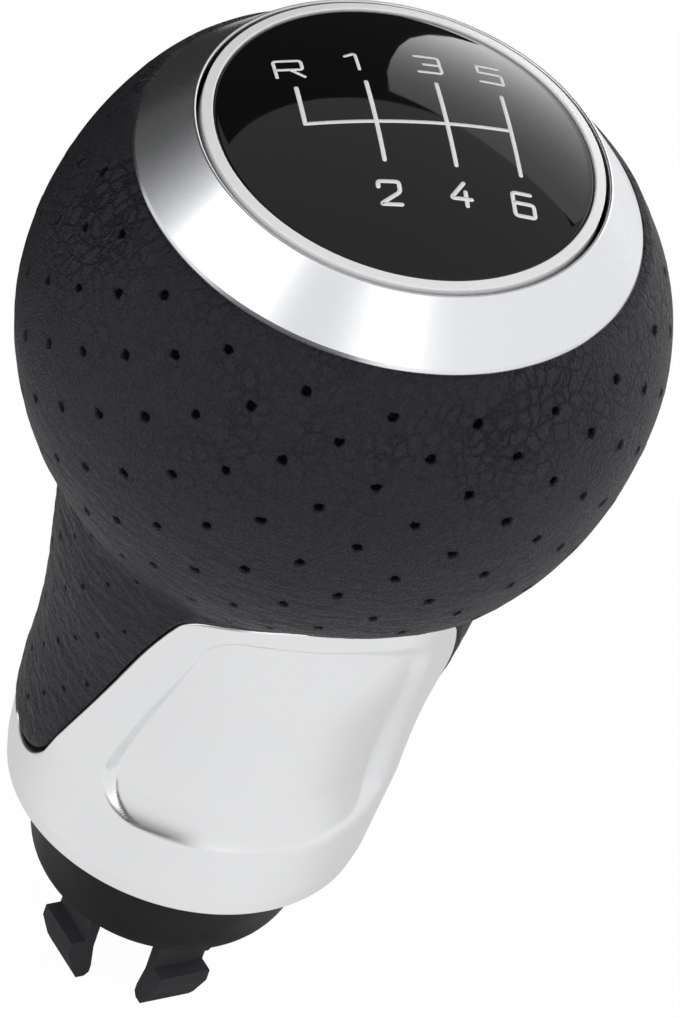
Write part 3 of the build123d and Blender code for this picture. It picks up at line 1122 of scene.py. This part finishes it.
def collar_column(angle):
    """Section of the collar at an angle: under the foot, up the outside, over the edge and down inside."""
    edge_z = edge_on(collar_points, angle, 0.0, NOTCH_ROUND)
    nearby = edge_on(collar_points, angle + SLOPE_STEP, 0.0, NOTCH_ROUND)
    slope = (nearby - edge_z) / (SLOPE_STEP * radius_at(collar_points, edge_z))
    edge_tall = COLLAR_EDGE_ROUND * math.sqrt(1 + slope**2)
    column = list(foot_outline[:-1])
    start_z = column[-1].y
    for row in range(1, COLLAR_ROWS + 1):
        z = start_z + (edge_z - edge_tall - start_z) * row / COLLAR_ROWS
        radius = radius_at(collar_points, z)
        flat = TONGUE_FLAT * tongue_middle(angle) * smooth(z, neck_top_z - TONGUE_FLAT_FROM, neck_top_z)
        across = radius * math.sin(angle)
        wing = hump(across, WING_RISE, WING_FALL) * hump(z - tip_z, WING_FOOT, WING_HEAD)
        sink = flat + WING_SINK * wing + recess_depth(radius * math.cos(angle), z)
        column.append(Vector((radius - sink, z)))
    edge_radius = column[-1].x
    for step in range(1, ROUND_STEPS + 1):
        turn = math.pi / 2 * step / ROUND_STEPS
        over = COLLAR_EDGE_ROUND * (1 - math.cos(turn))
        column.append(Vector((edge_radius - over, edge_z - edge_tall * (1 - math.sin(turn)))))
    inner_radius = radius_at(collar_points, edge_z) - COLLAR_THICKNESS
    column.append(Vector((inner_radius, edge_z)))
    for row in range(1, COLLAR_LINING):
        z = edge_z + (foot_z - edge_z) * row / COLLAR_LINING
        column.append(Vector((radius_at(collar_points, z) - COLLAR_THICKNESS, z)))
    return column


collar_angles = [2 * math.pi * step / COLLAR_COLUMNS for step in range(COLLAR_COLUMNS)]
collar = swept("satin_collar", [collar_column(angle) for angle in collar_angles])
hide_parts("lower_collar")
print("collar:", len(collar.data.polygons), "faces")

# %% [markdown]
# ## Satin metal
#
# Satin metal is blasted or brushed so fine that single marks don't show: it mirrors its surroundings
# softly. A very small grain in the bump and a slow change in roughness keep it from looking like
# paint.

# %% Satin finishes
SATIN_GRAIN = (9000.0, 2.0)
SATIN_BUMP = (0.25, 0.004 * MM)
SATIN_CLOUD = 140.0


def grained(material, grain, bump, cloud_scale, roughness, vary):
    """Give a finish a fine grain, and a roughness that varies slowly. Gives back its place socket."""
    tree = material.node_tree
    shader = tree.nodes["Principled BSDF"]
    place = add_node(tree, "ShaderNodeTexCoord").outputs["Object"]
    cloud = clouds(tree, place, cloud_scale, 3.0)
    soft = spread(tree, cloud, 0.3, 0.7, roughness - vary, roughness + vary, "LINEAR")
    inputs = {"Strength": bump[0], "Distance": bump[1], "Height": clouds(tree, place, *grain)}
    relief = add_node(tree, "ShaderNodeBump", inputs)
    tree.links.new(soft, shader.inputs["Roughness"])
    tree.links.new(relief.outputs["Normal"], shader.inputs["Normal"])
    return place


def satin_finish(name, colour, roughness, vary):
    """Softly mirroring metal with a fine blasted grain."""
    material, shader = start_finish(name)
    grained(material, SATIN_GRAIN, SATIN_BUMP, SATIN_CLOUD, roughness, vary)
    shader.inputs["Base Color"].default_value = colour
    shader.inputs["Metallic"].default_value = 1.0
    return material


collar.data.materials.append(satin_finish("pale_satin", (0.86, 0.865, 0.875, 1), 0.29, 0.03))
print("collar finish:", collar.data.materials[0].name)

# %% [markdown]
# ## The top ring
#
# The ring is a turned satin cone. A narrow bevel, steeper than the cone, runs round its outer edge and
# draws the thin grey band against the leather.

# %% Top ring
BEVEL_WIDTH = 0.7 * MM
BEVEL_DROP = 0.45 * MM
RING_WALL = 1.6 * MM
RING_EDGE_DEPTH = 0.8 * MM
RING_WIDTH = 4.4 * MM

ring_outer = ring_box[1].x
ring_low_z = ring_box[0].z
ring_top_z = ring_box[1].z
ring_inner = ring_outer - RING_WIDTH
ring_lip_z = ring_low_z + RING_EDGE_DEPTH
cone = Vector((ring_outer - ring_inner, ring_lip_z - ring_top_z)).normalized()
bevel_start = Vector((ring_outer, ring_lip_z)) - cone * BEVEL_WIDTH
ring_section = rounded_section(
    [
        (ring_inner, ring_top_z - RING_WALL, 0),
        (ring_inner, ring_top_z, 0.16 * MM),
        (bevel_start.x, bevel_start.y, 0.08 * MM),
        (ring_outer, ring_lip_z - BEVEL_DROP, 0.12 * MM),
        (ring_outer, ring_low_z, 0),
    ]
)
ring = swept("satin_ring", [ring_section[::-1]] * TURN_STEPS)
ring.data.materials.append(satin_finish("ring_satin", (0.83, 0.84, 0.86, 1), 0.27, 0.02))
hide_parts("top_bezel")
print("ring:", len(ring.data.polygons), "faces")

# %% [markdown]
# ## The cap's rim
#
# A pale rim holds the cap. It stands just inside the ring, with a dark gap between the two. It is
# white all round in the picture, where the ring turns dark, so its silver is a paint that scatters
# light, and not a mirror.

# %% Cap rim
RIM_WIDTH = 1.0 * MM
RIM_LEDGE_WIDTH = 2.45 * MM
RIM_FLOOR = 1.0 * MM
RIM_SLANT = 0.2 * MM
RIM_GAP = 0.1 * MM

rim_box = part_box("cap_rim")
rim_outer = rim_box[1].x
rim_inner = rim_outer - RIM_WIDTH
rim_edge = rim_outer - RIM_GAP
rim_section = rounded_section(
    [
        (rim_inner - RIM_LEDGE_WIDTH, rim_box[0].z, 0),
        (rim_inner - RIM_LEDGE_WIDTH, rim_box[0].z + RIM_FLOOR, 0),
        (rim_inner, rim_box[0].z + RIM_FLOOR, 0),
        (rim_inner, rim_box[1].z, 0.12 * MM),
        (rim_edge, rim_box[1].z - RIM_SLANT, 0.1 * MM),
        (rim_outer, rim_box[0].z, 0),
    ]
)
rim = swept("bright_rim", [rim_section[::-1]] * TURN_STEPS)
rim_finish = satin_finish("rim_bright", (0.97, 0.97, 0.98, 1), 0.35, 0.03)
rim_finish.node_tree.nodes["Principled BSDF"].inputs["Metallic"].default_value = 0.1
rim.data.materials.append(rim_finish)
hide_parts("cap_rim")
print("rim:", len(rim.data.polygons), "faces")

# %% [markdown]
# ## The cap
#
# The cap is a low dome of gloss black plastic. Its mirror image of the lights is most of what the eye
# sees, so the dome is a fine, true piece of a ball, with nothing to ripple the reflections.

# %% Gloss cap
DOME_HEIGHT = 2.2 * MM
DOME_RINGS = 40
CAP_EDGE_ROUND = 0.25 * MM

cap_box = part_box("shift_cap")
cap_radius = cap_box[1].x
dome_edge_z = cap_box[1].z - DOME_HEIGHT
dome_radius = (cap_radius**2 + DOME_HEIGHT**2) / (2 * DOME_HEIGHT)


def dome_z(distance):
    """Height of the dome at a distance from the axis."""
    return cap_box[1].z - dome_radius + math.sqrt(dome_radius**2 - distance**2)


dome_reach = cap_radius - CAP_EDGE_ROUND
cap_section = [Vector((0, cap_box[0].z)), Vector((cap_radius, cap_box[0].z))]
cap_section.append(Vector((cap_radius, dome_edge_z - CAP_EDGE_ROUND)))
for step in range(1, ROUND_STEPS):
    turn = math.pi / 2 * step / ROUND_STEPS
    out = dome_reach + CAP_EDGE_ROUND * math.cos(turn)
    up = dome_z(dome_reach) - CAP_EDGE_ROUND * (1 - math.sin(turn))
    cap_section.append(Vector((out, up)))
for step in range(DOME_RINGS + 1):
    distance = dome_reach * (1 - step / DOME_RINGS)
    cap_section.append(Vector((distance, dome_z(distance))))
cap = swept("gloss_cap", [cap_section] * TURN_STEPS)
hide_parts("shift_cap")


def gloss_finish():
    """Piano black: a deep black under a clear gloss, with the faintest haze."""
    material, shader = start_finish("piano_black")
    tree = material.node_tree
    place = add_node(tree, "ShaderNodeTexCoord").outputs["Object"]
    haze = clouds(tree, place, 180.0, 4.0)
    gloss = spread(tree, haze, 0.35, 0.75, 0.02, 0.05, "LINEAR")
    shader.inputs["Base Color"].default_value = (0.003, 0.003, 0.0033, 1)
    shader.inputs["IOR"].default_value = 1.5
    tree.links.new(gloss, shader.inputs["Roughness"])
    return material


cap.data.materials.append(gloss_finish())
print("cap:", len(cap.data.polygons), "faces")

# %% [markdown]
# ## The shift pattern
#
# The pattern is printed in silver: four gates on one bar, and plain figures at their ends. Each
# stroke is a ribbon with round ends. Its outline is drawn flat, draped on the dome, and given the
# thickness of a layer of paint.

# %% Print strokes
PRINT_TURN = math.radians(-4.7)
PRINT_LIFT = 0.025 * MM
UNDER_LIFT = 0.8
LINE_WIDTH = 0.37 * MM
PATH_STEP = 0.18 * MM
STROKE_END_STEPS = 5
SAME_POINT = 0.01 * MM


def rounded_path(corners, rounding):
    """Points along a bent line, with its inner corners rounded."""
    path = [Vector(corners[0])]
    for before, here, after in zip(corners, corners[1:], corners[2:]):
        here = Vector(here)
        back = Vector(before) - here
        on = Vector(after) - here
        reach = min(rounding, back.length / 2, on.length / 2)
        start = here + back.normalized() * reach
        end = here + on.normalized() * reach
        for step in range(ROUND_STEPS + 1):
            share = step / ROUND_STEPS
            path.append(start.lerp(here, share).lerp(here.lerp(end, share), share))
    path.append(Vector(corners[-1]))
    dense = [path[0]]
    for point in path[1:]:
        parts = max(1, math.ceil((point - dense[-1]).length / PATH_STEP))
        start = dense[-1]
        dense += [start.lerp(point, part / parts) for part in range(1, parts + 1)]
    kept = [dense[0]]
    for before, here in zip(dense, dense[1:]):
        if (here - before).length > SAME_POINT:
            kept.append(here)
    return kept


def stroke_outline(path, width):
    """Left side, round end, right side and round start of a stroke."""
    left = []
    right = []
    for index, point in enumerate(path):
        along = (path[min(index + 1, len(path) - 1)] - path[max(index - 1, 0)]).normalized()
        side = Vector((-along.y, along.x)) * (width / 2)
        left.append(point + side)
        right.append(point - side)
    ends = []
    for tip, side in ((path[-1], left[-1] - path[-1]), (path[0], right[0] - path[0])):
        turns = [Matrix.Rotation(-math.pi * s / STROKE_END_STEPS, 2) for s in range(1, STROKE_END_STEPS)]
        ends.append([tip + turn @ side for turn in turns])
    return left, ends[0], right, ends[1]


print("line width:", round(LINE_WIDTH / MM, 2), "mm")

# %% Draping the print
class Print:
    """Mesh of the printed strokes while it is being built."""

    def __init__(self):
        self.verts = []
        self.faces = []

    def drape(self, point, lift):
        """Put a flat point of the print onto the dome."""
        turned_point = Matrix.Rotation(PRINT_TURN, 2) @ point
        self.verts.append((turned_point.x, turned_point.y, dome_z(turned_point.length) + lift))
        return len(self.verts) - 1

    def stroke(self, corners, rounding, lift, width=LINE_WIDTH):
        """Add one stroke with a top and a side wall."""
        left, end, right, start = stroke_outline(rounded_path(corners, rounding), width)
        tops = [[self.drape(p, lift) for p in part] for part in (left, right, end, start)]
        top_left, top_right, top_end, top_start = tops
        for index in range(len(left) - 1):
            after = index + 1
            self.faces.append((top_right[index], top_right[after], top_left[after], top_left[index]))
        self.faces.append([top_right[-1], *top_end[::-1], top_left[-1]])
        self.faces.append([top_left[0], *top_start[::-1], top_right[0]])
        rim = [*top_left, *top_end, *top_right[::-1], *top_start]
        flat = [*left, *end, *right[::-1], *start]
        wall = [self.drape(p, -PRINT_LIFT) for p in flat]
        for index in range(len(rim)):
            after = (index + 1) % len(rim)
            self.faces.append((rim[index], rim[after], wall[after], wall[index]))


pattern = Print()
print("print started")

# %% Gates and figures
GATE_COLUMNS = (-8.8, -2.9, 3.15, 8.75)
GATE_TOPS = (4.28, 5.13, 5.62, 5.25)
GATE_LOW = -4.17
BAR_FROM = -0.14
BAR_TO = 0.95
FIGURE_WIDTH = 1.75 * MM
FIGURE_HEIGHT = 2.35 * MM
FIGURE_ROUND = 0.3 * MM
FIVE_ROUND = 0.1 * MM
UPPER_FIGURE_LINE = 0.28 * MM
UPPER_FIGURE_STRETCH = Vector((1.15, 0.92))
FIGURES = {
    "R": (
        ((-0.56, -0.5), (-0.56, 0.5), (0.56, 0.5), (0.56, -0.05), (-0.56, -0.05)),
        ((0.05, -0.05), (0.56, -0.5)),
    ),
    "1": (((-0.35, 0.3), (0.1, 0.5), (0.1, -0.5)),),
    "2": (((-0.5, 0.25), (-0.5, 0.5), (0.5, 0.5), (0.5, 0.05), (-0.5, -0.5), (0.5, -0.5)),),
    "3": (
        ((-0.5, 0.5), (0.5, 0.5), (0.5, 0.0), (-0.2, 0.0)),
        ((0.3, 0.0), (0.5, 0.0), (0.5, -0.5), (-0.5, -0.5)),
    ),
    "4": (((0.22, 0.5), (-0.5, -0.2), (0.5, -0.2)), ((0.25, 0.12), (0.25, -0.5))),
    "5": (((0.45, 0.5), (-0.5, 0.5), (-0.5, 0.08), (0.5, 0.08), (0.5, -0.5), (-0.5, -0.5)),),
    "6": (((0.4, 0.5), (-0.5, 0.5), (-0.5, -0.5), (0.5, -0.5), (0.5, 0.06), (-0.42, 0.06)),),
}
FIGURE_PLACES = {
    "R": (-8.96, 6.79),
    "1": (-3.33, 7.86),
    "3": (2.96, 8.16),
    "5": (8.31, 8.04),
    "2": (-2.95, -7.65),
    "4": (3.07, -7.23),
    "6": (8.52, -7.36),
}


def bar_y(x):
    """Height of the slightly rising bar at a place across it."""
    share = (x - GATE_COLUMNS[0]) / (GATE_COLUMNS[-1] - GATE_COLUMNS[0])
    return BAR_FROM + (BAR_TO - BAR_FROM) * share


for column, (x, top) in enumerate(zip(GATE_COLUMNS, GATE_TOPS)):
    low = bar_y(x) if column == 0 else GATE_LOW
    pattern.stroke([Vector((x, top)) * MM, Vector((x, low)) * MM], 0, PRINT_LIFT)
bar = [Vector((x, bar_y(x))) * MM for x in (GATE_COLUMNS[0], GATE_COLUMNS[-1])]
pattern.stroke(bar, 0, PRINT_LIFT * UNDER_LIFT)
for figure, place in FIGURE_PLACES.items():
    line = UPPER_FIGURE_LINE if place[1] > 0 else LINE_WIDTH
    size = Vector((FIGURE_WIDTH, FIGURE_HEIGHT))
    if place[1] > 0:
        size *= UPPER_FIGURE_STRETCH
    for number, corners in enumerate(FIGURES[figure]):
        scaled = [Vector(corner) * size + Vector(place) * MM for corner in corners]
        rounding = FIVE_ROUND if figure == "5" else FIGURE_ROUND
        pattern.stroke(scaled, rounding, PRINT_LIFT * UNDER_LIFT**number, line)
shift_print = link_mesh("shift_print", pattern.verts, pattern.faces)


def print_finish():
    """Silver paint, a little uneven."""
    material, shader = start_finish("silver_print")
    tree = material.node_tree
    place = add_node(tree, "ShaderNodeTexCoord").outputs["Object"]
    speck = clouds(tree, place, 4000.0, 2.0)
    tone = mixed(tree, speck, (0.86, 0.87, 0.88, 1), (0.95, 0.96, 0.97, 1))
    tree.links.new(tone, shader.inputs["Base Color"])
    shader.inputs["Roughness"].default_value = 0.5
    return material


shift_print.data.materials.append(print_finish())
print("print:", len(pattern.faces), "faces")

# %% [markdown]
# ## Black plastic
#
# The socket below and the core inside are moulded in black plastic with a fine spark grain. Their
# solids have the right shape, so they only get a finish. Below a height, the snap hooks are painted
# a lighter grey: painted light, as the flange above them lies in the collar's shade.

# %% Black plastic
HOOK_TOP = 8.4 * MM
HOOK_PAINTED_LIGHT_TONE = 4.6
MOULD_GRAIN = (5200.0, 3.0)
MOULD_BUMP = (0.35, 0.02 * MM)
MOULD_CLOUD = 220.0
MOULD_VARY = 0.06


def moulded_finish(name, colour, roughness, shine):
    """Moulded black plastic with a fine spark grain, painted lighter below the hooks' top as painted light.
    """
    material, shader = start_finish(name)
    tree = material.node_tree
    place = grained(material, MOULD_GRAIN, MOULD_BUMP, MOULD_CLOUD, roughness, MOULD_VARY)
    # Painted light: below HOOK_TOP the plastic gets a lighter grey, as the flange above lies in the
    # collar's shade.
    wear_and_painted_light = [min(1, HOOK_PAINTED_LIGHT_TONE * part) for part in colour[:3]] + [1]
    height = add_node(tree, "ShaderNodeSeparateXYZ", {"Vector": place}).outputs["Z"]
    hook_painted_light = spread(tree, height, HOOK_TOP, HOOK_TOP - 1 * MM)
    tree.links.new(mixed(tree, hook_painted_light, colour, wear_and_painted_light), shader.inputs["Base Color"])
    shader.inputs["Specular IOR Level"].default_value = shine
    return material


def refinish(node, material):
    """Give a solid of the frame its finish."""
    for material_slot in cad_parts[node].material_slots:
        material_slot.material = material


refinish("base_insert", moulded_finish("socket_black", (0.0095, 0.0095, 0.0105, 1), 0.48, 0.13))
refinish("core", moulded_finish("core_black", (0.006, 0.006, 0.0065, 1), 0.5, 0.2))
print("moulded pieces finished")

# %% Finish
bpy.context.scene.view_settings.view_transform = "Standard"
